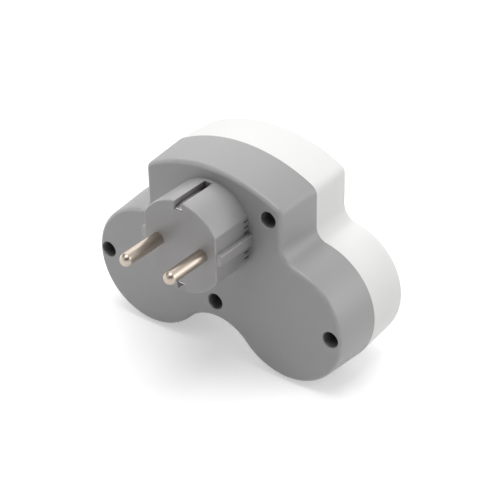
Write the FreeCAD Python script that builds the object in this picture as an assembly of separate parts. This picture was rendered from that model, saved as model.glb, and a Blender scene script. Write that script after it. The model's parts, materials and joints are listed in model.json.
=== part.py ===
"""Three way earthed plug-in socket adapter, in millimetres.

X runs across the adapter, Y from the plug into the body, Z up.
The origin is the middle of the plug's face, between the two pins.
"""
import FreeCAD, Part
import math
import os

# plug
PIN_RADIUS = 2.4
PIN_LENGTH = 19.0
PIN_SPACING = 19.0
PIN_SHANK_RADIUS = 2.1
PIN_TO_FLAT = 5.95
PLUG_RADIUS = 17.7
PLUG_DEPTH = 18.2
PLUG_EDGE = 0.6
PLUG_CORNER = 1.2
PLUG_FACE_WALL = 3.0
PLUG_WALL = 2.2
SLEEVE_RADIUS = 4.4
SLEEVE_END = 13.0

# guide bars and short grooves on the plug's flats
BAR_HALF_HEIGHT = 2.0
BAR_PROUD = 2.0
BAR_SETBACK = 0.5
BAR_EDGE = 0.4
GROOVE_FIRST_Z = 2.8
GROOVE_PITCH = 2.2
GROOVE_COUNT = 3
GROOVE_WIDTH = 0.5
GROOVE_DEPTH = 0.6
GROOVE_LENGTH = 2.4

# earth slots in the plug's top and bottom
SLOT_WIDTH = 3.4
SLOT_FLOOR_Z = 14.3
SLOT_LENGTH = 16.6
SLOT_WALL = 1.5
WINDOW_CLEARANCE = 0.2

# outline of the housing, seen from the plug
CROWN_HEIGHT = 23.7
CROWN_RADIUS = 60.0
SHOULDER_HALF_WIDTH = 30.6
SHOULDER_CORNER = 4.2
WAIST_RADIUS = 5.4
LOBE_X = 30.6
LOBE_Z = -29.1
LOBE_RADIUS = 24.8
VALLEY_RADIUS = 16.4
LEAST_CORNER = 1.0

# depths, tapers and walls of the two housings
REAR_DEPTH = 19.0
FRONT_DEPTH = 20.0
REAR_TAPER = 1.4
FRONT_TAPER = 0.9
REAR_EDGE = 1.5
FRONT_EDGE = 2.5
REAR_WALL = 2.2
FRONT_WALL = 3.3
FRONT_FACE_WALL = 2.2
BACK_RELIEF = 0.5
LIP_HEIGHT = 1.5
LIP_CLEARANCE = 0.1

# sockets
RECESS_RADIUS = 19.5
RECESS_DEPTH = 17.5
WELL_RADIUS = 21.8
GUIDE_HALF_GAP = 16.1
GUIDE_GROOVE_DEPTH = 2.2
GUIDE_GROOVE_HALF_HEIGHT = 2.5
PIN_HOLE_RADIUS = 3.0
MOUTH_CHAMFER = 0.5
GUIDE_SETBACK = 1.0

# housing screws
SIDE_SCREW_OFFSET = 19.2
SIDE_SCREW_RISE = 0.5
TOP_SCREW_INSET = 2.6
TOP_SCREW_DROP = 2.86
LOW_SCREW_RISE = 8.0
SCREW_WELL_RADIUS = 3.1
SCREW_WELL_EDGE = 0.3
SCREW_SEAT_DEPTH = 11.8
SCREW_HEAD_RADIUS = 2.8
SCREW_HEAD_HEIGHT = 2.0
SCREW_SHANK_RADIUS = 1.5
SCREW_LENGTH = 12.0
SCREW_SLOT = 0.7
SCREW_CROSS = 3.6
SCREW_CLEARANCE = 0.15
THREAD_CLEARANCE = 0.05
TOWER_RADIUS = 4.6
BOSS_RADIUS = 4.0

# conductors
RAIL_LEVEL = 5.8
RAIL_THICKNESS = 0.8
RAIL_HALF_WIDTH = 2.75
LEG_HALF_WIDTH = 2.5
FOOT_END = 3.2
COLLAR_CLEARANCE = 0.35
COLLAR_THICKNESS = 1.2
TAIL_RADIUS = 1.6
TAIL_HEAD_RADIUS = 2.6
TAIL_HEAD_HEIGHT = 0.8
CONTACT_SHEET = 0.6
CONTACT_HALF_SIZE = 3.6
CONTACT_TAB = 9.0
CONTACT_TAB_HALF_WIDTH = 2.5
LEAF_SHEET = 0.5
LEAF_HALF_WIDTH = 2.5
LEAF_HEIGHT = 10.0
LEAF_FOOT_GAP = 3.1
LEAF_WAIST_GAP = 2.45
LEAF_MOUTH_GAP = 3.3
RIVET_RADIUS = 1.2
RIVET_HEAD_RADIUS = 2.1
RIVET_HEAD_HEIGHT = 0.7
RIVET_CLEARANCE = 0.02
ELBOW_TO_SCREW = 9.6
KNEE_TO_SCREW = 1.6
KNEE_BELOW_SCREW = 15.5
NEUTRAL_KNEE_X = 12.0
PAD_RADIUS = 2.4
NEAR_PAD_SHARE = 0.12
MIDDLE_PAD_SHARE = 0.5
FAR_PAD_SHARE = 0.72
POST_RADIUS = 2.0
POST_CLEARANCE = 0.1

# earth parts
EARTH_SHEET = 0.6
STRIP_SHEET = 0.5
STRIP_HALF_WIDTH = 1.5
STRIP_CLEARANCE = 0.1
STRIP_RISE = 0.8
STRIP_RAMP = 3.6
STRIP_BEND = 2.0
CLIP_HALF_WIDTH = 1.6
CLIP_BASE_HALF_WIDTH = 3.0
CLIP_BASE_MARGIN = 1.0
EARTH_TIP_SETBACK = 0.4
EARTH_BASE_BEHIND_SLOT = 2.0
EARTH_RAIL_HALF_WIDTH = 2.6
EARTH_RAIL_Z = -11.0
EARTH_RAIL_KNEE_X = 12.0
EARTH_SIDE_RIVET_OFFSET = 13.0
LINK_HALF_WIDTH = 2.5
LINK_RIVET_Z = -4.0
CLIP_HALF_GAP = 17.0
CLIP_BOW_HALF_GAP = 14.7
CLIP_MOUTH_HALF_GAP = 16.6
CLIP_STRAIGHT = 1.5
CLIP_END_SETBACK = 4.0
CLIP_SLOT_CLEARANCE = 0.5

# levels along Y that follow from the sizes above
BACK_Y = PLUG_DEPTH
REAR_INNER_Y = BACK_Y + REAR_WALL
PARTING_Y = BACK_Y + REAR_DEPTH
FRONT_Y = PARTING_Y + FRONT_DEPTH
RECESS_FLOOR_Y = FRONT_Y - RECESS_DEPTH
FLOOR_BACK_Y = PARTING_Y + BACK_RELIEF
RAIL_Y = BACK_Y + RAIL_LEVEL
RAIL_TOP_Y = RAIL_Y + RAIL_THICKNESS
CONTACT_TOP_Y = RAIL_TOP_Y + CONTACT_SHEET
SCREW_SEAT_Y = BACK_Y + SCREW_SEAT_DEPTH
FOOT_Y = SLEEVE_END + COLLAR_THICKNESS
EARTH_BASE_Y = SLOT_LENGTH + EARTH_BASE_BEHIND_SLOT
CLIP_BASE_Y = FLOOR_BACK_Y - POST_CLEARANCE - RIVET_HEAD_HEIGHT - EARTH_SHEET
EARTH_RAIL_Y = CLIP_BASE_Y - RAIL_THICKNESS

REACH = 200.0
TINY = 0.01
CUT_MARGIN = 1.0

# places across the plug that follow from the pins
PIN_X = PIN_SPACING / 2
PLUG_HALF_FLAT = PIN_X + PIN_TO_FLAT
COLLAR_RADIUS = PIN_TO_FLAT - PLUG_WALL - COLLAR_CLEARANCE

# centre of the rounded corner between the crown and the side
CORNER_X = SHOULDER_HALF_WIDTH - SHOULDER_CORNER
CROWN_Z = CROWN_HEIGHT - CROWN_RADIUS
CORNER_Z = CROWN_Z + math.sqrt((CROWN_RADIUS - SHOULDER_CORNER) ** 2 - CORNER_X ** 2)

# places of the sockets, housing screws and the bends of the live rail, as (x, z)
SOCKETS = {"top": (0.0, 0.0), "left": (-LOBE_X, LOBE_Z), "right": (LOBE_X, LOBE_Z)}
VALLEY_Z = LOBE_Z - math.sqrt((LOBE_RADIUS + VALLEY_RADIUS) ** 2 - LOBE_X ** 2)
SIDE_SCREW = (LOBE_X + SIDE_SCREW_OFFSET, LOBE_Z + SIDE_SCREW_RISE)
TOP_SCREW = (CORNER_X - TOP_SCREW_INSET, CORNER_Z - TOP_SCREW_DROP)
LOW_SCREW = (0.0, VALLEY_Z + VALLEY_RADIUS + LOW_SCREW_RISE)
SCREWS = [SIDE_SCREW, (-SIDE_SCREW[0], SIDE_SCREW[1]), TOP_SCREW, LOW_SCREW]
LIVE_ELBOW = (TOP_SCREW[0] - ELBOW_TO_SCREW, CONTACT_TAB)
LIVE_KNEE = (TOP_SCREW[0] - KNEE_TO_SCREW, TOP_SCREW[1] - KNEE_BELOW_SCREW)
NEUTRAL_KNEE = (NEUTRAL_KNEE_X, -CONTACT_TAB)

# side of each socket that a contact is on, and which way its tab points
LIVE_CONTACTS = {"top": (-PIN_X, 1), "left": (-PIN_X, 1), "right": (PIN_X, 1)}
NEUTRAL_CONTACTS = {"top": (PIN_X, -1), "left": (PIN_X, 1), "right": (-PIN_X, 1)}


def vec(x, y, z):
    return FreeCAD.Vector(x, y, z)


def block(x0, x1, y0, y1, z0, z1):
    return Part.makeBox(x1 - x0, y1 - y0, z1 - z0, vec(x0, y0, z0))


def rod(radius, y0, y1, x=0.0, z=0.0):
    return Part.makeCylinder(radius, y1 - y0, vec(x, y0, z), vec(0, 1, 0))


def fuse(shapes):
    first, *rest = shapes
    return first.fuse(rest).removeSplitter() if rest else first


def prism(wire, y0, y1):
    """Straight body of a closed outline that lies in the plane y = y0."""
    return Part.Face(wire).extrude(vec(0, y1 - y0, 0))


def arc(x, z, radius, start, end, y):
    """Arc about (x, z) in the plane at y, between two angles in radians."""
    points = []
    for angle in (start, (start + end) / 2, end):
        points.append(vec(x + radius * math.cos(angle), y, z + radius * math.sin(angle)))
    return Part.Arc(*points).toShape()


def outline(inset, y):
    """Closed outline of the housing in the plane at y, moved inwards by inset."""
    crown = CROWN_RADIUS - inset
    side = SHOULDER_HALF_WIDTH - inset
    corner = max(SHOULDER_CORNER - inset, LEAST_CORNER)
    corner_x = side - corner
    corner_z = CROWN_Z + math.sqrt((crown - corner) ** 2 - corner_x ** 2)
    shoulder = math.atan2(corner_z - CROWN_Z, corner_x)
    waist_x = SHOULDER_HALF_WIDTH + WAIST_RADIUS
    waist_z = LOBE_Z + math.sqrt((LOBE_RADIUS + WAIST_RADIUS) ** 2 - (waist_x - LOBE_X) ** 2)
    waist = math.atan2(waist_z - LOBE_Z, waist_x - LOBE_X)
    valley = math.atan2(LOBE_Z - VALLEY_Z, LOBE_X)

    right = [
        arc(corner_x, corner_z, corner, shoulder, 0, y),
        Part.makeLine(vec(side, y, corner_z), vec(side, y, waist_z)),
        arc(waist_x, waist_z, WAIST_RADIUS + inset, math.pi, math.pi + waist, y),
        arc(LOBE_X, LOBE_Z, LOBE_RADIUS - inset, waist, valley - math.pi, y),
    ]
    left = [
        arc(-LOBE_X, LOBE_Z, LOBE_RADIUS - inset, -valley, -math.pi - waist, y),
        arc(-waist_x, waist_z, WAIST_RADIUS + inset, -waist, 0, y),
        Part.makeLine(vec(-side, y, waist_z), vec(-side, y, corner_z)),
        arc(-corner_x, corner_z, corner, math.pi, math.pi - shoulder, y),
    ]
    valley_arc = arc(0, VALLEY_Z, VALLEY_RADIUS + inset, valley, math.pi - valley, y)
    crown_arc = arc(0, CROWN_Z, crown, math.pi - shoulder, shoulder, y)
    return Part.Wire(right + [valley_arc] + left + [crown_arc])


def tapered(inset0, y0, inset1, y1):
    """Body between two outlines with straight, tapered walls."""
    return Part.makeLoft([outline(inset0, y0), outline(inset1, y1)], True, True)


def edges_at(body, y):
    """Edges that lie in the plane at y."""
    boxes = [(edge, edge.BoundBox) for edge in body.Edges]
    return [edge for edge, box in boxes if box.YLength < TINY and abs(box.YMin - y) < TINY]


def edges_along_y(body):
    """Corner edges of a straight body, without the seams of its round walls."""
    boxes = [(edge, edge.BoundBox) for edge in body.Edges if len(body.ancestorsOfType(edge, Part.Face)) == 2]
    return [edge for edge, box in boxes if box.XLength < TINY and box.ZLength < TINY]


def round_end(body, y, radius):
    """Rounds every edge that lies in the plane at y."""
    return body.makeFillet(radius, edges_at(body, y))


def plug_profile(shrink, y0, y1):
    """Round body with two flats."""
    half = PLUG_HALF_FLAT - shrink
    return rod(PLUG_RADIUS - shrink, y0, y1).common(block(-half, half, y0, y1, -REACH, REACH))


def guide_bar(side):
    """Rounded bar that runs along one flat of the plug."""
    root = PLUG_HALF_FLAT - PLUG_WALL / 2
    tip = PLUG_HALF_FLAT + BAR_PROUD
    bar = block(root, tip, BAR_SETBACK, PLUG_DEPTH + REAR_WALL / 2, -BAR_HALF_HEIGHT, BAR_HALF_HEIGHT)
    edges = [edge for edge in bar.Edges if edge.BoundBox.XMin > tip - TINY]
    bar = bar.makeFillet(BAR_EDGE, edges)
    return bar if side > 0 else bar.mirror(vec(0, 0, 0), vec(1, 0, 0))


def flat_grooves():
    """Short grooves at the root of both flats, above and below the bars."""
    cuts = []
    for side in (-1, 1):
        for step in range(GROOVE_COUNT):
            for up in (-1, 1):
                z = up * (GROOVE_FIRST_Z + step * GROOVE_PITCH)
                x0 = PLUG_HALF_FLAT - GROOVE_DEPTH
                x1 = PLUG_HALF_FLAT + GROOVE_DEPTH
                low, high = sorted((side * x0, side * x1))
                half = GROOVE_WIDTH / 2
                cuts.append(block(low, high, BACK_Y - GROOVE_LENGTH, BACK_Y, z - half, z + half))
    return cuts


def earth_channel(up):
    """Walls round one earth slot, and the slot with the window at its end."""
    half = SLOT_WIDTH / 2
    outer = block(-half - SLOT_WALL, half + SLOT_WALL, PLUG_EDGE, SLOT_LENGTH + SLOT_WALL,
                  SLOT_FLOOR_Z - SLOT_WALL, PLUG_RADIUS)
    slot = block(-half, half, -CUT_MARGIN, SLOT_LENGTH, SLOT_FLOOR_Z, REACH)
    window_top = SLOT_FLOOR_Z + STRIP_CLEARANCE + STRIP_SHEET + WINDOW_CLEARANCE
    window = block(-half, half, 0, SLOT_LENGTH + SLOT_WALL + WINDOW_CLEARANCE, SLOT_FLOOR_Z, window_top)
    if up < 0:
        flip = [shape.mirror(vec(0, 0, 0), vec(0, 0, 1)) for shape in (outer, slot, window)]
        outer, slot, window = flip
    return outer, slot.fuse(window)


def rear_housing():
    """Grey half: the plug with its sleeves, the tapered shell, screw towers and rail pads."""
    shell = tapered(REAR_TAPER, BACK_Y, 0, PARTING_Y)
    shell = round_end(shell, BACK_Y, REAR_EDGE)
    inner_taper = REAR_TAPER * (PARTING_Y - REAR_INNER_Y) / REAR_DEPTH
    cavity = tapered(REAR_WALL + inner_taper, REAR_INNER_Y, REAR_WALL, PARTING_Y)
    towers = fuse([rod(TOWER_RADIUS, REAR_INNER_Y, PARTING_Y, x, z).common(shell) for x, z in SCREWS])
    plug = plug_profile(0, 0, REAR_INNER_Y)
    plug = plug.makeFillet(PLUG_CORNER, edges_along_y(plug))
    plug = round_end(plug, 0, PLUG_EDGE)
    hollow = plug_profile(PLUG_WALL, PLUG_FACE_WALL, REAR_INNER_Y)
    channels = [earth_channel(up) for up in (-1, 1)]

    body = fuse([shell.cut(cavity), plug])
    body = body.cut(hollow)
    sleeves = [rod(SLEEVE_RADIUS, PLUG_EDGE, SLEEVE_END, x, 0) for x in (-PIN_X, PIN_X)]
    sleeves = [sleeve.common(plug) for sleeve in sleeves]
    walls = [outer.common(plug) for outer, slot in channels]
    bars = [guide_bar(side) for side in (-1, 1)]
    pads = [rod(PAD_RADIUS, BACK_Y + REAR_WALL / 2, RAIL_Y, x, z) for x, z in rail_pads()]
    body = fuse([body, towers] + sleeves + walls + bars + pads)

    cuts = [slot for outer, slot in channels] + flat_grooves()
    for x in (-PIN_X, PIN_X):
        cuts.append(rod(PIN_SHANK_RADIUS + RIVET_CLEARANCE, -CUT_MARGIN, SLEEVE_END + CUT_MARGIN, x, 0))
    for x, z in SCREWS:
        cuts.append(rod(SCREW_WELL_RADIUS, BACK_Y - CUT_MARGIN, SCREW_SEAT_Y, x, z))
        cuts.append(Part.makeCone(SCREW_WELL_RADIUS + SCREW_WELL_EDGE, SCREW_WELL_RADIUS, SCREW_WELL_EDGE,
                                  vec(x, BACK_Y, z), vec(0, 1, 0)))
        cuts.append(rod(SCREW_SHANK_RADIUS + SCREW_CLEARANCE, SCREW_SEAT_Y - CUT_MARGIN,
                        PARTING_Y + CUT_MARGIN, x, z))
    return body.cut(cuts)


def between(start, end, share):
    """Point (x, z) part of the way from one point to another."""
    return tuple(a + share * (b - a) for a, b in zip(start, end))


def rail_pads():
    """Places where the two rails rest on the rear housing."""
    live_end = tab_end(LIVE_CONTACTS, "right")
    neutral_end = (LOBE_X - PIN_X, LOBE_Z + CONTACT_TAB)
    right = [
        between(LIVE_KNEE, live_end, NEAR_PAD_SHARE),
        between(LIVE_KNEE, live_end, FAR_PAD_SHARE),
        between(NEUTRAL_KNEE, neutral_end, MIDDLE_PAD_SHARE),
    ]
    return [(side * x, z) for side in (-1, 1) for x, z in right]


def recess(x, z):
    """Space inside one socket, with its two flats and their grooves."""
    half = GUIDE_HALF_GAP
    space = rod(RECESS_RADIUS, RECESS_FLOOR_Y, FRONT_Y)
    space = space.common(block(-half, half, RECESS_FLOOR_Y, FRONT_Y, -REACH, REACH))
    deep = half + GUIDE_GROOVE_DEPTH
    high = GUIDE_GROOVE_HALF_HEIGHT
    groove = block(-deep, deep, RECESS_FLOOR_Y, FRONT_Y, -high, high)
    mouth = rod(RECESS_RADIUS, FRONT_Y - GUIDE_SETBACK, FRONT_Y)
    bevel = Part.makeCone(RECESS_RADIUS, RECESS_RADIUS + MOUTH_CHAMFER, MOUTH_CHAMFER,
                          vec(0, FRONT_Y - MOUTH_CHAMFER, 0), vec(0, 1, 0))
    back, front = PARTING_Y - CUT_MARGIN, RECESS_FLOOR_Y + CUT_MARGIN
    holes = [rod(PIN_HOLE_RADIUS, back, front, side * PIN_X, 0) for side in (-1, 1)]
    slots = []
    for up in (-1, 1):
        half_width = CLIP_HALF_WIDTH + CLIP_SLOT_CLEARANCE
        low, high = sorted((up * (CLIP_HALF_GAP - CLIP_SLOT_CLEARANCE),
                            up * (CLIP_HALF_GAP + EARTH_SHEET + CLIP_SLOT_CLEARANCE)))
        slots.append(block(-half_width, half_width, back, front, low, high))
    return space.fuse([groove, mouth, bevel] + holes + slots).translate(vec(x, 0, z))


def front_housing():
    """White half: the shell with three socket wells, coring pockets, lip and screw bosses."""
    shell = tapered(0, PARTING_Y, FRONT_TAPER, FRONT_Y)
    shell = round_end(shell, FRONT_Y, FRONT_EDGE)
    relief = prism(outline(FRONT_WALL, PARTING_Y), PARTING_Y, FLOOR_BACK_Y)
    pockets = prism(outline(FRONT_WALL, PARTING_Y), PARTING_Y, FRONT_Y - FRONT_FACE_WALL)
    wells = [rod(WELL_RADIUS, PARTING_Y, FRONT_Y, x, z) for x, z in SOCKETS.values()]
    pockets = pockets.cut(wells)
    bosses = [rod(BOSS_RADIUS, PARTING_Y, FRONT_Y - FRONT_FACE_WALL, x, z) for x, z in SCREWS]
    bosses = [boss.common(shell) for boss in bosses]
    post = rod(POST_RADIUS, RAIL_TOP_Y + POST_CLEARANCE, RECESS_FLOOR_Y, PIN_X, CONTACT_TAB)

    lip_inset = REAR_WALL + LIP_CLEARANCE
    lip_y = PARTING_Y - LIP_HEIGHT
    lip_taper = REAR_TAPER * LIP_HEIGHT / REAR_DEPTH
    lip = tapered(lip_inset + lip_taper, lip_y, lip_inset, PARTING_Y)
    lip = lip.cut(prism(outline(FRONT_WALL, lip_y), lip_y, PARTING_Y))
    lip = lip.cut([rod(TOWER_RADIUS + SCREW_CLEARANCE, lip_y, PARTING_Y, x, z) for x, z in SCREWS])

    body = shell.cut([relief, pockets])
    body = fuse([body, lip, post] + bosses)
    cuts = [recess(x, z) for x, z in SOCKETS.values()]
    hole_end = SCREW_SEAT_Y + SCREW_LENGTH + CUT_MARGIN
    hole_radius = SCREW_SHANK_RADIUS + THREAD_CLEARANCE
    cuts += [rod(hole_radius, PARTING_Y - CUT_MARGIN, hole_end, x, z) for x, z in SCREWS]
    return body.cut(cuts)


def plug_pin(side):
    """Solid pin: round nose, thinner shank behind the plug's face, collar and riveted tail."""
    x = side * PIN_X
    nose_y = -PIN_LENGTH + PIN_RADIUS
    tail_y = FOOT_Y + RAIL_THICKNESS
    pieces = [
        rod(PIN_RADIUS, nose_y, 0, x),
        rod(PIN_SHANK_RADIUS, 0, SLEEVE_END, x),
        Part.makeSphere(PIN_RADIUS, vec(x, nose_y, 0)),
        rod(COLLAR_RADIUS, SLEEVE_END, FOOT_Y, x),
        rod(TAIL_RADIUS, FOOT_Y, tail_y, x),
        rod(TAIL_HEAD_RADIUS, tail_y, tail_y + TAIL_HEAD_HEIGHT, x),
    ]
    return fuse(pieces)


def stadium(start, end, half_width, y0, y1):
    """Flat strip with round ends between two points (x, z)."""
    (x0, z0), (x1, z1) = start, end
    length = math.hypot(x1 - x0, z1 - z0)
    across_x = -(z1 - z0) / length * half_width
    across_z = (x1 - x0) / length * half_width
    corners = [
        vec(x0 + across_x, y0, z0 + across_z),
        vec(x1 + across_x, y0, z1 + across_z),
        vec(x1 - across_x, y0, z1 - across_z),
        vec(x0 - across_x, y0, z0 - across_z),
    ]
    strip = Part.Face(Part.makePolygon(corners + corners[:1])).extrude(vec(0, y1 - y0, 0))
    ends = [rod(half_width, y0, y1, x0, z0), rod(half_width, y0, y1, x1, z1)]
    return fuse([strip] + ends)


def strip_along(points, half_width, y0, y1):
    """Flat strip that follows a run of points (x, z)."""
    pairs = zip(points[:-1], points[1:])
    return fuse([stadium(start, end, half_width, y0, y1) for start, end in pairs])


def rivet_hole(x, z):
    return rod(RIVET_RADIUS + RIVET_CLEARANCE, BACK_Y, RECESS_FLOOR_Y, x, z)


def pin_leg(side, toward):
    """Leg and foot folded from a rail's edge down to the tail of one pin."""
    x = side * PIN_X
    edge_z = toward * (CONTACT_TAB - RAIL_HALF_WIDTH)
    inner_z = edge_z - toward * RAIL_THICKNESS
    far_z = -toward * FOOT_END
    low, high = sorted((edge_z, inner_z))
    leg = block(x - LEG_HALF_WIDTH, x + LEG_HALF_WIDTH, FOOT_Y, RAIL_TOP_Y, low, high)
    low, high = sorted((edge_z, far_z))
    foot = block(x - LEG_HALF_WIDTH, x + LEG_HALF_WIDTH, FOOT_Y, FOOT_Y + RAIL_THICKNESS, low, high)
    hole_y = FOOT_Y + RAIL_THICKNESS + CUT_MARGIN
    hole = rod(TAIL_RADIUS + RIVET_CLEARANCE, FOOT_Y - CUT_MARGIN, hole_y, x, 0)
    return fuse([leg, foot]).cut(hole)


def contact_place(offset, name):
    x, z = SOCKETS[name]
    return x + offset, z


def tab_end(contacts, name):
    """Place of the rivet that holds one contact's tab."""
    offset, up = contacts[name]
    x, z = contact_place(offset, name)
    return x, z + up * CONTACT_TAB


def live_rail():
    """Outer rail, an arch over the plug from one lower socket to the other."""
    right = [LIVE_ELBOW, LIVE_KNEE, tab_end(LIVE_CONTACTS, "right")]
    left = [(-x, z) for x, z in reversed(right)]
    plate = strip_along(left + right, RAIL_HALF_WIDTH, RAIL_Y, RAIL_TOP_Y)
    rail = fuse([plate, pin_leg(-1, 1)])
    return rail.cut([rivet_hole(*tab_end(LIVE_CONTACTS, name)) for name in SOCKETS])


def neutral_rail():
    """Inner rail, a bracket below the plug's axis between the lower sockets."""
    right = [NEUTRAL_KNEE, tab_end(NEUTRAL_CONTACTS, "right")]
    left = [(-x, z) for x, z in reversed(right)]
    plate = strip_along(left + right, RAIL_HALF_WIDTH, RAIL_Y, RAIL_TOP_Y)
    rail = fuse([plate, pin_leg(1, -1)])
    return rail.cut([rivet_hole(*tab_end(NEUTRAL_CONTACTS, name)) for name in SOCKETS])


def leaf(side):
    """One bowed spring leaf that grips an inserted pin."""
    foot_y = CONTACT_TOP_Y - CONTACT_SHEET / 2
    mouth_y = CONTACT_TOP_Y + LEAF_HEIGHT
    waist_y = (foot_y + mouth_y) / 2
    z = -LEAF_HALF_WIDTH

    def bow(extra):
        return Part.Arc(vec(side * (LEAF_FOOT_GAP + extra), foot_y, z),
                        vec(side * (LEAF_WAIST_GAP + extra), waist_y, z),
                        vec(side * (LEAF_MOUTH_GAP + extra), mouth_y, z)).toShape()

    inner = bow(0)
    outer = bow(LEAF_SHEET)
    ends = []
    for index in (0, 1):
        ends.append(Part.makeLine(inner.Vertexes[index].Point, outer.Vertexes[index].Point))
    profile = Part.Wire(Part.__sortEdges__([inner, outer] + ends))
    return Part.Face(profile).extrude(vec(0, 0, 2 * LEAF_HALF_WIDTH))


def socket_contact(contacts, name):
    """Stamped contact: a base with a tab and two spring leaves."""
    offset, up = contacts[name]
    x, z = contact_place(offset, name)
    half = CONTACT_HALF_SIZE
    base = block(-half, half, RAIL_TOP_Y, CONTACT_TOP_Y, -half, half)
    tab = stadium((0, 0), (0, up * CONTACT_TAB), CONTACT_TAB_HALF_WIDTH, RAIL_TOP_Y, CONTACT_TOP_Y)
    body = fuse([base, tab, leaf(-1), leaf(1)])
    body = body.cut([rod(PIN_HOLE_RADIUS, RAIL_Y, CONTACT_TOP_Y), rivet_hole(0, up * CONTACT_TAB)])
    return body.translate(vec(x, 0, z))


def rivet(x, z, y0, y1):
    """Rivet through the sheets between y0 and y1, with a flat head on each side."""
    return fuse([
        rod(RIVET_HEAD_RADIUS, y0 - RIVET_HEAD_HEIGHT, y0, x, z),
        rod(RIVET_RADIUS, y0, y1, x, z),
        rod(RIVET_HEAD_RADIUS, y1, y1 + RIVET_HEAD_HEIGHT, x, z),
    ])


def contact_rivets(contacts):
    return Part.makeCompound([rivet(*tab_end(contacts, name), RAIL_Y, CONTACT_TOP_Y) for name in SOCKETS])


def strip_arm():
    """Upper arm of the plug's earth strip: low at its tip, raised along the slot, low again at the window."""
    low = SLOT_FLOOR_Z + STRIP_CLEARANCE
    high = low + STRIP_RISE
    bends = [EARTH_TIP_SETBACK + STRIP_RAMP, SLOT_LENGTH - STRIP_RAMP]
    line = [(EARTH_TIP_SETBACK, low), (bends[0], high), (bends[1], high)]
    line += [(SLOT_LENGTH, low), (EARTH_BASE_Y, low)]
    x = -STRIP_HALF_WIDTH
    corners = [vec(x, y, z) for y, z in line] + [vec(x, y, z + STRIP_SHEET) for y, z in reversed(line)]
    arm = Part.Face(Part.makePolygon(corners + corners[:1])).extrude(vec(2 * STRIP_HALF_WIDTH, 0, 0))
    across = [(edge, edge.BoundBox) for edge in arm.Edges if edge.BoundBox.XLength > STRIP_HALF_WIDTH]
    rounded = [edge for edge, box in across if min(abs(box.YMin - y) for y in bends) < TINY]
    return arm.makeFillet(STRIP_BEND, rounded)


def plug_earth_stirrup():
    """Strip bent to a U: one raised arm in each earth slot, joined behind the pins."""
    half = STRIP_HALF_WIDTH
    arm_top = SLOT_FLOOR_Z + STRIP_CLEARANCE + STRIP_SHEET
    back_y = EARTH_BASE_Y + STRIP_SHEET
    base = block(-half, half, EARTH_BASE_Y, back_y, -arm_top, arm_top)
    middle = block(-LINK_HALF_WIDTH, LINK_HALF_WIDTH, EARTH_BASE_Y, back_y,
                   LINK_RIVET_Z - LINK_HALF_WIDTH, LINK_HALF_WIDTH)
    upper = strip_arm()
    lower = upper.mirror(vec(0, 0, 0), vec(0, 0, 1))
    hole = rod(RIVET_RADIUS + RIVET_CLEARANCE, EARTH_BASE_Y - CUT_MARGIN, back_y + CUT_MARGIN, 0, LINK_RIVET_Z)
    return fuse([base, middle, upper, lower]).cut(hole)


def earth_link():
    """Bent bracket that joins the plug's earth stirrup to the earth rail."""
    half = LINK_HALF_WIDTH
    low_y = EARTH_BASE_Y + STRIP_SHEET
    high_y = EARTH_RAIL_Y
    sheet = RAIL_THICKNESS
    low_foot = block(-half, half, low_y, low_y + sheet, LINK_RIVET_Z - half, sheet / 2)
    leg = block(-half, half, low_y, high_y, -sheet / 2, sheet / 2)
    high_foot = block(-half, half, high_y - sheet, high_y, EARTH_RAIL_Z - half, sheet / 2)
    body = fuse([low_foot, leg, high_foot])
    hole = RIVET_RADIUS + RIVET_CLEARANCE
    return body.cut([
        rod(hole, low_y - CUT_MARGIN, low_y + sheet + CUT_MARGIN, 0, LINK_RIVET_Z),
        rod(hole, high_y - sheet - CUT_MARGIN, high_y + CUT_MARGIN, 0, EARTH_RAIL_Z),
    ])


def earth_rivet_places():
    side_z = LOBE_Z + EARTH_SIDE_RIVET_OFFSET
    return {"top": (0.0, EARTH_RAIL_Z), "left": (-LOBE_X, side_z), "right": (LOBE_X, side_z)}


def earth_rail():
    """Flat rail behind the socket floors that joins the three earth clips."""
    places = earth_rivet_places()
    knee = EARTH_RAIL_KNEE_X
    points = [places["left"], (-knee, EARTH_RAIL_Z), (knee, EARTH_RAIL_Z), places["right"]]
    plate = strip_along(points, EARTH_RAIL_HALF_WIDTH, EARTH_RAIL_Y, CLIP_BASE_Y)
    return plate.cut([rivet_hole(x, z) for x, z in places.values()])


def clip_arm(up):
    """Spring arm of one earth clip, bowed towards the plug that it touches."""
    straight_y = RECESS_FLOOR_Y + CLIP_STRAIGHT
    end_y = FRONT_Y - CLIP_END_SETBACK
    bow_y = (straight_y + end_y) / 2
    x = -CLIP_HALF_WIDTH

    def edge(extra):
        root = vec(x, CLIP_BASE_Y, up * (CLIP_HALF_GAP + extra))
        knee = vec(x, straight_y, up * (CLIP_HALF_GAP + extra))
        bow = vec(x, bow_y, up * (CLIP_BOW_HALF_GAP + extra))
        end = vec(x, end_y, up * (CLIP_MOUTH_HALF_GAP + extra))
        return root, end, [Part.makeLine(root, knee), Part.Arc(knee, bow, end).toShape()]

    inner_root, inner_end, inner = edge(0)
    outer_root, outer_end, outer = edge(EARTH_SHEET)
    ends = [Part.makeLine(inner_root, outer_root), Part.makeLine(inner_end, outer_end)]
    profile = Part.Wire(Part.__sortEdges__(inner + outer + ends))
    return Part.Face(profile).extrude(vec(2 * CLIP_HALF_WIDTH, 0, 0))


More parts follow.
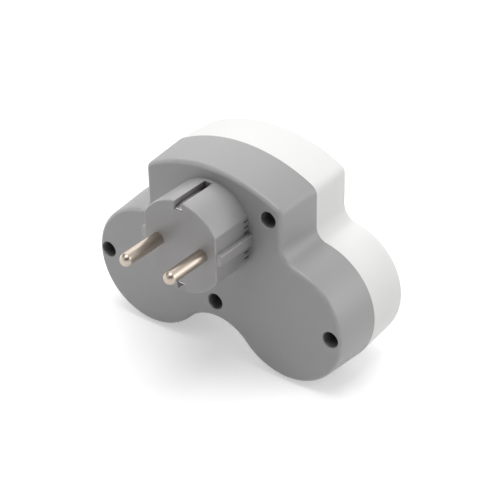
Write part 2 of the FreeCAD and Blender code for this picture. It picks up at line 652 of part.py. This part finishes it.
def socket_earth_clip(name):
    """Earth clip of one socket: a flat base behind the floor and two bowed arms."""
    x, z = SOCKETS[name]
    rivet_x, rivet_z = earth_rivet_places()[name]
    wide = CLIP_BASE_HALF_WIDTH
    narrow = CLIP_HALF_WIDTH
    reach = CLIP_HALF_GAP + EARTH_SHEET
    base = block(-narrow, narrow, CLIP_BASE_Y, CLIP_BASE_Y + EARTH_SHEET, -reach, reach)
    middle = CLIP_HALF_GAP - CLIP_BASE_MARGIN
    plate = block(-wide, wide, CLIP_BASE_Y, CLIP_BASE_Y + EARTH_SHEET, -middle, middle)
    body = fuse([base, plate, clip_arm(-1), clip_arm(1)]).translate(vec(x, 0, z))
    return body.cut(rivet_hole(rivet_x, rivet_z))


def earth_rivets():
    places = earth_rivet_places()
    top_y = CLIP_BASE_Y + EARTH_SHEET
    link_y = EARTH_BASE_Y + STRIP_SHEET + RAIL_THICKNESS
    rivets = [
        rivet(*places["top"], EARTH_RAIL_Y - RAIL_THICKNESS, top_y),
        rivet(*places["left"], EARTH_RAIL_Y, top_y),
        rivet(*places["right"], EARTH_RAIL_Y, top_y),
        rivet(0.0, LINK_RIVET_Z, EARTH_BASE_Y, link_y),
    ]
    return Part.makeCompound(rivets)


def housing_screw(x, z):
    """Pan head screw with a cross recess."""
    head_y = SCREW_SEAT_Y - SCREW_HEAD_HEIGHT
    tip_y = SCREW_SEAT_Y + SCREW_LENGTH
    head = rod(SCREW_HEAD_RADIUS, head_y, SCREW_SEAT_Y)
    head = head.makeChamfer(SCREW_HEAD_HEIGHT / 3, edges_at(head, head_y))
    shank = rod(SCREW_SHANK_RADIUS, SCREW_SEAT_Y, tip_y)
    shank = shank.makeChamfer(SCREW_SHANK_RADIUS / 2, edges_at(shank, tip_y))
    half_long = SCREW_CROSS / 2
    half_thin = SCREW_SLOT / 2
    deep_y = SCREW_SEAT_Y - SCREW_HEAD_HEIGHT / 3
    cross = [
        block(-half_long, half_long, head_y - CUT_MARGIN, deep_y, -half_thin, half_thin),
        block(-half_thin, half_thin, head_y - CUT_MARGIN, deep_y, -half_long, half_long),
    ]
    return fuse([head, shank]).cut(cross).translate(vec(x, 0, z))


def build():
    """All sub-parts by name."""
    parts = {
        "rear_housing": rear_housing(),
        "front_housing": front_housing(),
        "live_pin": plug_pin(-1),
        "neutral_pin": plug_pin(1),
        "live_rail": live_rail(),
        "neutral_rail": neutral_rail(),
        "earth_rail": earth_rail(),
        "plug_earth_stirrup": plug_earth_stirrup(),
        "earth_link": earth_link(),
        "live_rivets": contact_rivets(LIVE_CONTACTS),
        "neutral_rivets": contact_rivets(NEUTRAL_CONTACTS),
        "earth_rivets": earth_rivets(),
        "housing_screws": Part.makeCompound([housing_screw(x, z) for x, z in SCREWS]),
    }
    for name in SOCKETS:
        parts["live_contact_" + name] = socket_contact(LIVE_CONTACTS, name)
        parts["neutral_contact_" + name] = socket_contact(NEUTRAL_CONTACTS, name)
        parts["socket_earth_clip_" + name] = socket_earth_clip(name)
    return parts


def main():
    os.makedirs("parts", exist_ok=True)
    for name, shape in build().items():
        shape.exportStep("parts/" + name + ".step")
        print(name, len(shape.Solids), shape.isValid(), round(shape.Volume, 1))


main()
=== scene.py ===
"""Looks, lights and camera of the three way socket adapter. Metres, in the part's own frame."""
import json

import bpy
from mathutils import Matrix, Vector


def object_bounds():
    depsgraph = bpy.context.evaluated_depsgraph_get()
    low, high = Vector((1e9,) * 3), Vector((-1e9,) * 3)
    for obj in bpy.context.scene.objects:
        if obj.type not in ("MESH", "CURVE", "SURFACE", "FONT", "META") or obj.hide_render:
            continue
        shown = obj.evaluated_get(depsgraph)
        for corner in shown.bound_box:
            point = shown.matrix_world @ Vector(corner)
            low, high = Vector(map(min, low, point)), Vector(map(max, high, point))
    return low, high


# camera fitted to the photograph, in its pixels and in metres
IMAGE_SIDE = 500.0
FOCAL_PIXELS = 1717.0
SENSOR_WIDTH = 36.0
CAMERA_PLACE = (0.320119, -0.377049, 0.309486)
CAMERA_RIGHT = (0.79809313, 0.60236015, -0.01447757)
CAMERA_DOWN = (0.31131659, -0.43281086, -0.84602408)
CAMERA_FORWARD = (-0.51587724, 0.6706989, -0.53294809)
NEAREST_SEEN = 0.01
FARTHEST_SEEN = 20.0

# floor, and the white added where it is seen or reflected: near, far, and the distances in between
FLOOR_SIDE = 6.0
FLOOR_COLOUR = (0.80, 0.80, 0.80)
FLOOR_ROUGHNESS = 0.9
PAPER_CLOUDS = 60.0
PAPER_VARIATION = 0.004
FLOOR_LIFT_NEAR = 0.44
FLOOR_LIFT_FAR = 0.90
FLOOR_LIFT_REACH = (0.35, 1.10)

# surroundings: their own light, and the heights of sight between which they fade from white to dim
WORLD_LEVEL = 0.04
SKY_WHITE = 1.0
SKY_DIM = 0.10
SKY_FADE = (0.16, 0.40)

# square soft lamps: place and power
LAMP_SIDE = 1.0
LAMP_TARGET = (0.0, 0.02, -0.015)
LAMPS = {
    "overhead_softbox": ((0.00, 0.02, 1.33), 11.4),
    "back_left_softbox": ((-0.70, 0.93, 0.71), 5.4),
    "back_softbox": ((0.00, 1.03, 0.88), 2.7),
    "back_right_softbox": ((0.95, 0.70, 0.66), 5.0),
    "left_softbox": ((-1.33, -0.12, 0.26), 3.3),
    "right_fill": ((1.14, 0.64, 0.30), 2.7),
    "front_fill": ((-0.82, -0.94, 0.46), 1.7),
    "front_softbox": ((-0.30, -0.90, 0.97), 2.2),
}

# colours
GREY = (0.342, 0.335, 0.339)
WHITE = (0.850, 0.850, 0.840)
NICKEL = (0.50, 0.435, 0.37)
STRIP_NICKEL = (0.84, 0.81, 0.79)
BRASS = (0.80, 0.60, 0.27)
ZINC = (0.66, 0.67, 0.68)
PURE_WHITE = (1.0, 1.0, 1.0, 1.0)

# noise textures: how many layers of ever finer detail, and the middle where nearly all values lie
FEW_LAYERS = 1.0
SOME_LAYERS = 2.0
MANY_LAYERS = 3.0
TEXTURE_MIDDLE = (0.3, 0.7)
EVEN = (1.0, 1.0, 1.0)

# plastics: roughness, sheen and colour variation, then what both share, with textures in features per metre
GREY_ROUGHNESS = 0.42
GREY_SPECULAR = 0.85
GREY_VARIATION = 0.012
WHITE_ROUGHNESS = 0.58
WHITE_SPECULAR = 0.2
WHITE_VARIATION = 0.008
PLASTIC_ROUGHNESS_SPREAD = 0.04
PLASTIC_IOR = 1.5
PLASTIC_CLOUDS = 38.0
GRAIN_FINE = 3800.0
GRAIN_COARSE = 1100.0
GRAIN_FINE_DEPTH = 0.000006
GRAIN_COARSE_DEPTH = 0.000012
EDGE_ROUNDING = 0.00025
EDGE_SAMPLES = 6

# metals: roughness, then the lines left by the tool, with how they stretch along each axis
PIN_ROUGHNESS = 0.32
STRIP_ROUGHNESS = 0.36
BRASS_ROUGHNESS = 0.33
ZINC_ROUGHNESS = 0.34
METAL_ROUGHNESS_SPREAD = 0.1
METAL_VARIATION = 0.035
METAL_SMUDGES = 200.0
METAL_LINES = 520.0
METAL_LINE_DEPTH = 0.0000004
TURNED = (0.08, 6.0, 0.08)
ROLLED_ALONG_Y = (6.0, 0.15, 6.0)
ROLLED_ALONG_X = (0.15, 6.0, 6.0)

# shade in hollows: its reach, then per finish the openness at full shade and at none, and the darkest shade
HOLLOW_REACH = 0.008
HOLLOW_SAMPLES = 4
PLASTIC_HOLLOW = (0.20, 0.31, 0.09)
STRIP_HOLLOW = (0.55, 0.85, 0.22)

# painted highlight along the edges of the grey moulding, where they catch the light: depth along Y in
# metres, and how strong the highlight is there
EDGE_HIGHLIGHT_SPAN = 0.020
EDGE_HIGHLIGHT_BANDS = (
    (0.00000, 0.0), (0.00012, 1.0), (0.00036, 1.0), (0.00070, 0.0),
    (0.01818, 0.0), (0.01832, 0.7), (0.01880, 0.7), (0.01960, 0.0),
)
EDGE_HIGHLIGHT_LIGHTER = 1.35
EDGE_HIGHLIGHT_PATCHES = 240.0
EDGE_HIGHLIGHT_PATCHINESS = (0.55, 1.0)

# faces with no area, in square metres, and how near their doubled corners lie
SLIVER_AREA = 1e-13
MERGE_WITHIN = 1e-7


class Nodes:
    """A node tree, with short calls that add nodes and give their outputs."""

    def __init__(self, tree):
        self.tree = tree
        self.tree.nodes.clear()

    def add(self, kind, **values):
        node = self.tree.nodes.new(kind)
        for key, value in values.items():
            setattr(node, key, value)
        return node

    def join(self, output, node, socket):
        """Leads an output into one input of a node."""
        self.tree.links.new(output, node.inputs[socket])

    def ranged(self, output, given, made, **values):
        """A value mapped from one range to another, and held at its ends."""
        node = self.add("ShaderNodeMapRange", **values)
        for socket, value in zip(("From Min", "From Max", "To Min", "To Max"), given + made):
            node.inputs[socket].default_value = value
        self.join(output, node, "Value")
        return node.outputs["Result"]

    def combined(self, operation, first, second):
        """One number made from two."""
        node = self.add("ShaderNodeMath", operation=operation)
        self.join(first, node, 0)
        self.join(second, node, 1)
        return node.outputs["Value"]

    def any_ray(self):
        """One for camera, glossy and transmission rays, nought for the rest."""
        path = self.add("ShaderNodeLightPath").outputs
        seen = self.combined("MAXIMUM", path["Is Camera Ray"], path["Is Glossy Ray"])
        return self.combined("MAXIMUM", seen, path["Is Transmission Ray"])


class Shader(Nodes):
    """Node tree of one material, around one surface shader."""

    def __init__(self, name):
        self.material = bpy.data.materials.new(name)
        self.material.use_nodes = True
        super().__init__(self.material.node_tree)
        self.output = self.add("ShaderNodeOutputMaterial")
        self.surface = self.add("ShaderNodeBsdfPrincipled")
        self.join(self.surface.outputs["BSDF"], self.output, "Surface")
        self.place = self.add("ShaderNodeTexCoord").outputs["Object"]

    def set(self, **values):
        """Sets plain values on the surface's own sockets."""
        for key, value in values.items():
            self.surface.inputs[key.replace("_", " ")].default_value = value

    def noise(self, scale, detail=SOME_LAYERS, stretch=EVEN):
        """Noise in object coordinates, with scale in features per metre."""
        mapping = self.add("ShaderNodeMapping")
        mapping.inputs["Scale"].default_value = stretch
        self.join(self.place, mapping, "Vector")
        node = self.add("ShaderNodeTexNoise")
        node.inputs["Scale"].default_value = scale
        node.inputs["Detail"].default_value = detail
        self.join(mapping.outputs["Vector"], node, "Vector")
        return node.outputs["Fac"]

    def shade(self, texture, colour, amount):
        """The colour made up to amount lighter or darker by a texture."""
        ramp = self.add("ShaderNodeValToRGB")
        ends = zip(ramp.color_ramp.elements, TEXTURE_MIDDLE, (1 - amount, 1 + amount))
        for element, place, level in ends:
            element.position = place
            element.color = [channel * level for channel in colour] + [1.0]
        self.join(texture, ramp, "Fac")
        return ramp.outputs["Color"]

    def rough_between(self, texture, low, high):
        self.join(self.ranged(texture, TEXTURE_MIDDLE, (low, high)), self.surface, "Roughness")

    def rounded_edges(self, radius):
        """Normal that rounds off sharp edges."""
        edge = self.add("ShaderNodeBevel", samples=EDGE_SAMPLES)
        edge.inputs["Radius"].default_value = radius
        return edge.outputs["Normal"]

    def bumps(self, layers, base=None):
        """Layers of fine relief, as (texture, depth) pairs, on top of a base normal."""
        normal = base
        for texture, depth in layers:
            bump = self.add("ShaderNodeBump")
            bump.inputs["Strength"].default_value = 1.0
            bump.inputs["Distance"].default_value = depth
            self.join(texture, bump, "Height")
            if normal:
                self.join(normal, bump, "Normal")
            normal = bump.outputs["Normal"]
        self.join(normal, self.surface, "Normal")


def painted_edge_highlight(shader):
    """Mask of the painted highlight along the edges, from the depth along Y."""
    split = shader.add("ShaderNodeSeparateXYZ")
    shader.join(shader.place, split, "Vector")
    ramp = shader.add("ShaderNodeValToRGB")
    while len(ramp.color_ramp.elements) < len(EDGE_HIGHLIGHT_BANDS):
        ramp.color_ramp.elements.new(1.0)
    for element, (place, amount) in zip(ramp.color_ramp.elements, EDGE_HIGHLIGHT_BANDS):
        element.position = place / EDGE_HIGHLIGHT_SPAN
        element.color = (amount, amount, amount, 1.0)
    shader.join(shader.ranged(split.outputs["Y"], (0.0, EDGE_HIGHLIGHT_SPAN), (0.0, 1.0)), ramp, "Fac")
    patchy = shader.ranged(shader.noise(EDGE_HIGHLIGHT_PATCHES), TEXTURE_MIDDLE, EDGE_HIGHLIGHT_PATCHINESS)
    return shader.combined("MULTIPLY", ramp.outputs["Color"], patchy)


def with_painted_highlight(shader, colour, highlight_colour, mask):
    """The colour, with the lighter painted highlight colour where the mask is full."""
    mix = shader.add("ShaderNodeMix", data_type="RGBA")
    first, second = [socket for socket in mix.inputs if socket.type == "RGBA"]
    shader.join(mask, mix, "Factor")
    shader.tree.links.new(colour, first)
    shader.tree.links.new(highlight_colour, second)
    return next(socket for socket in mix.outputs if socket.type == "RGBA")


def shaded_hollows(shader, colour, hollow):
    """The colour made darker inside narrow wells and slots."""
    shut, clear, darkest = hollow
    open_sky = shader.add("ShaderNodeAmbientOcclusion", samples=HOLLOW_SAMPLES)
    open_sky.inputs["Distance"].default_value = HOLLOW_REACH
    product = shader.add("ShaderNodeVectorMath", operation="SCALE")
    shader.join(colour, product, "Vector")
    shader.join(shader.ranged(open_sky.outputs["AO"], (shut, clear), (darkest, 1.0)), product, "Scale")
    return product.outputs["Vector"]


def moulded_plastic(name, colour, rough, variation, painted_edges=False):
    """Satin plastic with the fine grain of an eroded mould."""
    shader = Shader(name)
    coarse = shader.noise(GRAIN_COARSE, detail=MANY_LAYERS)
    finish = shader.shade(shader.noise(PLASTIC_CLOUDS, detail=MANY_LAYERS), colour, variation)
    # painted highlight: colour made lighter along the edges where they catch the light, then painted shade
    # in the hollows
    if painted_edges:
        highlight_colour = shader.shade(coarse, [channel * EDGE_HIGHLIGHT_LIGHTER for channel in colour], variation)
        finish = with_painted_highlight(shader, finish, highlight_colour, painted_edge_highlight(shader))
        finish = shaded_hollows(shader, finish, PLASTIC_HOLLOW)
    shader.join(finish, shader.surface, "Base Color")
    shader.rough_between(coarse, rough - PLASTIC_ROUGHNESS_SPREAD, rough + PLASTIC_ROUGHNESS_SPREAD)
    grain = [(coarse, GRAIN_COARSE_DEPTH), (shader.noise(GRAIN_FINE), GRAIN_FINE_DEPTH)]
    shader.bumps(grain, shader.rounded_edges(EDGE_ROUNDING))
    shader.set(IOR=PLASTIC_IOR)
    return shader


def plated_metal(name, colour, rough, lines, hollow=None):
    """Metal or plating with fine lines left by turning or rolling."""
    shader = Shader(name)
    streaks = shader.noise(METAL_LINES, stretch=lines)
    finish = shader.shade(streaks, colour, METAL_VARIATION)
    if hollow:
        finish = shaded_hollows(shader, finish, hollow)
    shader.join(finish, shader.surface, "Base Color")
    smoothest, roughest = rough * (1 - METAL_ROUGHNESS_SPREAD), rough * (1 + METAL_ROUGHNESS_SPREAD)
    shader.rough_between(shader.noise(METAL_SMUDGES, detail=FEW_LAYERS), smoothest, roughest)
    shader.bumps([(streaks, METAL_LINE_DEPTH)])
    shader.set(Metallic=1.0)
    return shader.material


def make_materials():
    """A material for each slot of the record, and one for the earth parts, which are rolled."""
    grey = moulded_plastic("grey_moulding", GREY, GREY_ROUGHNESS, GREY_VARIATION, painted_edges=True)
    white = moulded_plastic("white_moulding", WHITE, WHITE_ROUGHNESS, WHITE_VARIATION)
    grey.set(Specular_IOR_Level=GREY_SPECULAR)
    white.set(Specular_IOR_Level=WHITE_SPECULAR)
    strip = plated_metal("rolled_nickel", STRIP_NICKEL, STRIP_ROUGHNESS, ROLLED_ALONG_Y, STRIP_HOLLOW)
    return {
        "grey_plastic": grey.material,
        "white_plastic": white.material,
        "nickel_plate": plated_metal("turned_nickel", NICKEL, PIN_ROUGHNESS, TURNED),
        "nickel_strip": strip,
        "brass": plated_metal("rolled_brass", BRASS, BRASS_ROUGHNESS, ROLLED_ALONG_X),
        "zinc_steel": plated_metal("zinc_plating", ZINC, ZINC_ROUGHNESS, TURNED),
    }


def close_slivers(node):
    """Merges the doubled corners of faces that have no area, as found at the poles of a round nose."""
    slivers = [face for face in node.data.polygons if face.area < SLIVER_AREA]
    if not slivers:
        return
    group = node.vertex_groups.new(name="sliver_corners")
    group.add(sorted({corner for face in slivers for corner in face.vertices}), 1.0, "REPLACE")
    weld = node.modifiers.new("close_slivers", "WELD")
    weld.merge_threshold = MERGE_WITHIN
    weld.vertex_group = group.name


def dress_nodes(frame, materials):
    """Gives every node of the model the material of its slot, and closed faces."""
    slots = {row["node"]: row["material_slot"] for row in frame["record"]["subparts"]}
    for name, node in frame["nodes"].items():
        finish = "nickel_strip" if "earth" in name and slots[name] == "nickel_plate" else slots[name]
        node.data.materials.clear()
        node.data.materials.append(materials[finish])
        close_slivers(node)


def make_camera():
    """Camera at the photograph's place, with its field of view."""
    camera = bpy.data.objects.new("camera", bpy.data.cameras.new("camera"))
    bpy.context.scene.collection.objects.link(camera)
    right, down, forward = Vector(CAMERA_RIGHT), Vector(CAMERA_DOWN), Vector(CAMERA_FORWARD)
    turn = Matrix((right, -down, -forward)).transposed()
    camera.matrix_world = Matrix.Translation(CAMERA_PLACE) @ turn.to_4x4()
    camera.data.sensor_width = SENSOR_WIDTH
    camera.data.lens = FOCAL_PIXELS / IMAGE_SIDE * SENSOR_WIDTH
    camera.data.clip_start = NEAREST_SEEN
    camera.data.clip_end = FARTHEST_SEEN
    bpy.context.scene.camera = camera


def make_lamp(name, place, power):
    """Square soft light aimed at the object."""
    lamp = bpy.data.lights.new(name, "AREA")
    lamp.shape = "SQUARE"
    lamp.size = LAMP_SIDE
    lamp.energy = power
    holder = bpy.data.objects.new(name, lamp)
    bpy.context.scene.collection.objects.link(holder)
    holder.location = place
    aim = Vector(LAMP_TARGET) - Vector(place)
    holder.rotation_euler = aim.to_track_quat("-Z", "Y").to_euler()


def make_world():
    """Surroundings seen as white at the horizon and dim above, that light the object only faintly."""
    world = bpy.data.worlds.new("studio")
    bpy.context.scene.world = world
    world.use_nodes = True
    nodes = Nodes(world.node_tree)
    split = nodes.add("ShaderNodeSeparateXYZ")
    nodes.join(nodes.add("ShaderNodeTexCoord").outputs["Generated"], split, "Vector")
    fade = nodes.ranged(split.outputs["Z"], SKY_FADE, (SKY_WHITE, SKY_DIM), interpolation_type="SMOOTHSTEP")
    seen = nodes.add("ShaderNodeBackground")
    seen.inputs["Color"].default_value = PURE_WHITE
    nodes.join(fade, seen, "Strength")
    lighting = nodes.add("ShaderNodeBackground")
    lighting.inputs["Color"].default_value = PURE_WHITE
    lighting.inputs["Strength"].default_value = WORLD_LEVEL
    mix = nodes.add("ShaderNodeMixShader")
    nodes.join(nodes.any_ray(), mix, "Fac")
    nodes.join(lighting.outputs["Background"], mix, 1)
    nodes.join(seen.outputs["Background"], mix, 2)
    nodes.join(mix.outputs["Shader"], nodes.add("ShaderNodeOutputWorld"), "Surface")


def floor_paper():
    """Matt paper, with white added where the camera or a reflection sees it."""
    shader = Shader("floor_paper")
    shader.set(Roughness=FLOOR_ROUGHNESS, Specular_IOR_Level=0.0)
    paper = shader.shade(shader.noise(PAPER_CLOUDS), FLOOR_COLOUR, PAPER_VARIATION)
    shader.join(paper, shader.surface, "Base Color")
    away = shader.add("ShaderNodeVectorMath", operation="LENGTH")
    shader.join(shader.place, away, "Vector")
    levels = (FLOOR_LIFT_NEAR, FLOOR_LIFT_FAR)
    lift = shader.ranged(away.outputs["Value"], FLOOR_LIFT_REACH, levels, interpolation_type="SMOOTHSTEP")
    glow = shader.add("ShaderNodeEmission")
    shader.join(shader.combined("MULTIPLY", shader.any_ray(), lift), glow, "Strength")
    both = shader.add("ShaderNodeAddShader")
    shader.join(shader.surface.outputs["BSDF"], both, 0)
    shader.join(glow.outputs["Emission"], both, 1)
    shader.join(both.outputs["Shader"], shader.output, "Surface")
    return shader.material


def make_floor(height):
    """Plain pale floor that keeps the object's shadow."""
    half = FLOOR_SIDE / 2
    mesh = bpy.data.meshes.new("floor")
    corners = [(-half, -half, height), (half, -half, height), (half, half, height), (-half, half, height)]
    mesh.from_pydata(corners, [], [(0, 1, 2, 3)])
    mesh.materials.append(floor_paper())
    floor = bpy.data.objects.new("floor", mesh)
    bpy.context.scene.collection.objects.link(floor)


with open("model.json") as file:
    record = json.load(file)
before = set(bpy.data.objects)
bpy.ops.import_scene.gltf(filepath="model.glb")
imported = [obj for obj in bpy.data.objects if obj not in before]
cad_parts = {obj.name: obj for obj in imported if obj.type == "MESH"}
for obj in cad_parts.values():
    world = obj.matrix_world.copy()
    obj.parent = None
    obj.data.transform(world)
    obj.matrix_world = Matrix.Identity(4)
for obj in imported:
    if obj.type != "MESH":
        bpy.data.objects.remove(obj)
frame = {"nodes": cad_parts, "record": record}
model_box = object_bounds()
make_camera()
make_world()
for lamp_name, (lamp_place, lamp_power) in LAMPS.items():
    make_lamp(lamp_name, lamp_place, lamp_power)
make_floor(model_box[0].z)
dress_nodes(frame, make_materials())
bpy.context.scene.view_settings.view_transform = "Standard"
